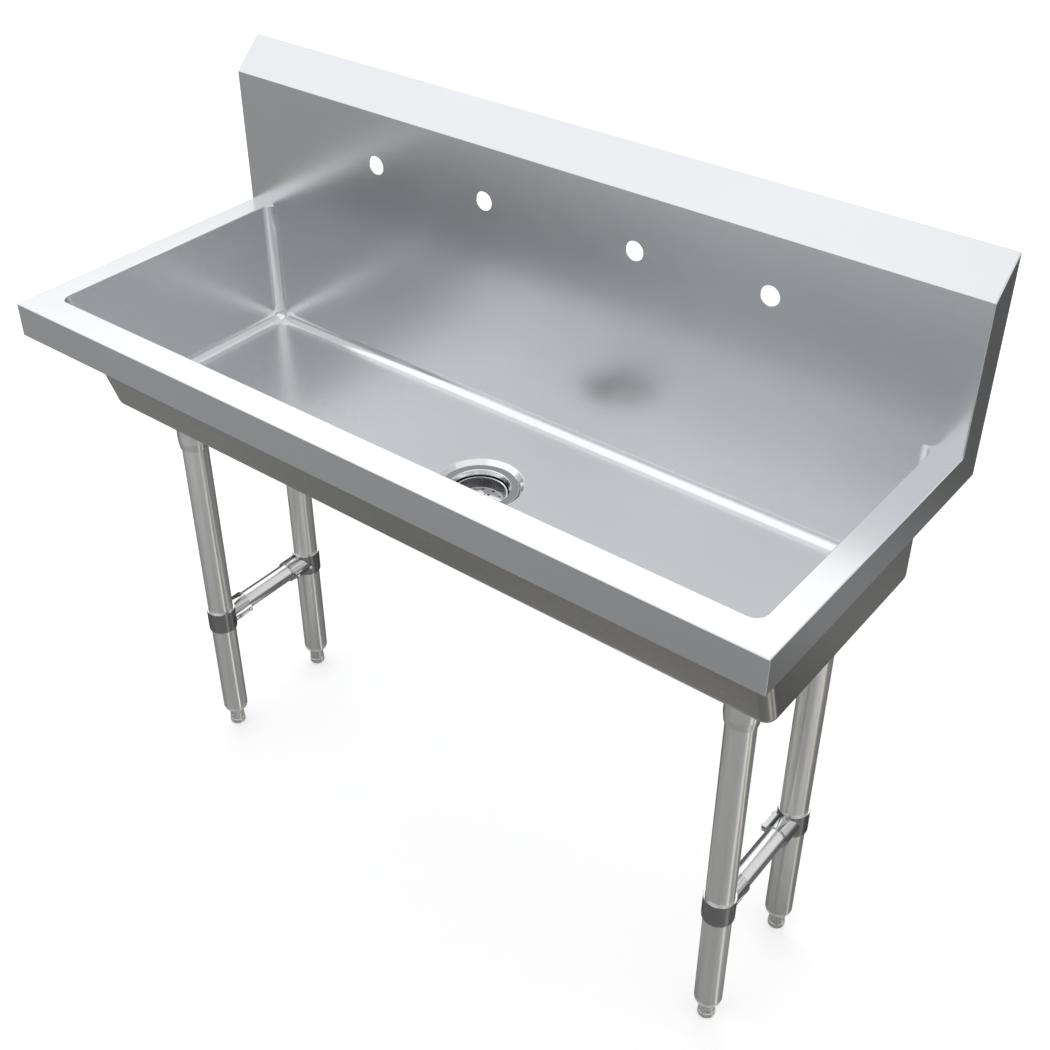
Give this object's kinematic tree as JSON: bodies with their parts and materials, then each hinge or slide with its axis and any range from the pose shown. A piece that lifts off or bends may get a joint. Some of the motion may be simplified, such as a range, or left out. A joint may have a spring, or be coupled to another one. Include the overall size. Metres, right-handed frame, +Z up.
{
  "type": "trough sink",
  "caption": "Long stainless steel wash trough with a tall slanted backsplash, bare faucet holes, a coved bowl with a basket strainer, and round legs on bullet feet with cross braces.",
  "frame": {"origin": "on the floor, under the middle of the sink's footprint", "axes": "+X along the length to the right as seen from the front, +Y from the front edge to the backsplash, +Z up"},
  "size_m": [1.2192, 0.5044, 1.136],
  "materials": {
    "sheet": "fine brushed stainless sheet, seams ground flush",
    "socket": "drawn stainless, satin",
    "tube": "drawn stainless tube, satin",
    "insert": "turned, satin",
    "foot": "cast grey metal, fine-grained and dull",
    "clamp": "pressed stainless, dark satin",
    "screw": "bright plated set screws",
    "strainer": "polished stainless",
    "rubber": "black rubber",
    "fibre": "pressed fibre",
    "nut": "die-cast metal, dull"
  },
  "bodies": {
    "sink": {"bowl": "sheet", "deck": "sheet", "backsplash": "sheet", "splash_end_left": "sheet", "splash_end_right": "sheet", "leg_socket_front_left": "socket", "leg_socket_front_right": "socket", "leg_socket_rear_left": "socket", "leg_socket_rear_right": "socket", "leg_front_left": "tube", "leg_front_right": "tube", "leg_rear_left": "tube", "leg_rear_right": "tube", "brace_left": "tube", "brace_right": "tube", "foot_insert_front_left": "insert", "foot_insert_front_right": "insert", "foot_insert_rear_left": "insert", "foot_insert_rear_right": "insert", "brace_clamp_front_left": "clamp", "brace_clamp_front_right": "clamp", "brace_clamp_rear_left": "clamp", "brace_clamp_rear_right": "clamp", "socket_screws": "screw", "clamp_screws": "screw", "strainer_body": "strainer", "strainer_gasket": "rubber", "friction_washer": "fibre", "lock_nut": "nut"},
    "foot_front_left": {"foot_front_left": "foot"},
    "foot_front_right": {"foot_front_right": "foot"},
    "foot_rear_left": {"foot_rear_left": "foot"},
    "foot_rear_right": {"foot_rear_right": "foot"},
    "basket": {"strainer_basket": "strainer", "basket_post": "strainer", "basket_stopper": "rubber"}
  },
  "joints": [
    {"name": "foot_front_left_screw", "type": "slide", "parent": "sink", "child": "foot_front_left", "axis": [0, 0, 1], "range_m": [0, 0.025]},
    {"name": "foot_front_right_screw", "type": "slide", "parent": "sink", "child": "foot_front_right", "axis": [0, 0, 1], "range_m": [0, 0.025]},
    {"name": "foot_rear_left_screw", "type": "slide", "parent": "sink", "child": "foot_rear_left", "axis": [0, 0, 1], "range_m": [0, 0.025]},
    {"name": "foot_rear_right_screw", "type": "slide", "parent": "sink", "child": "foot_rear_right", "axis": [0, 0, 1], "range_m": [0, 0.025]},
    {"name": "basket_lift", "type": "slide", "parent": "sink", "child": "basket", "axis": [0, 0, 1], "range_m": [0, 0.08]}
  ]
}
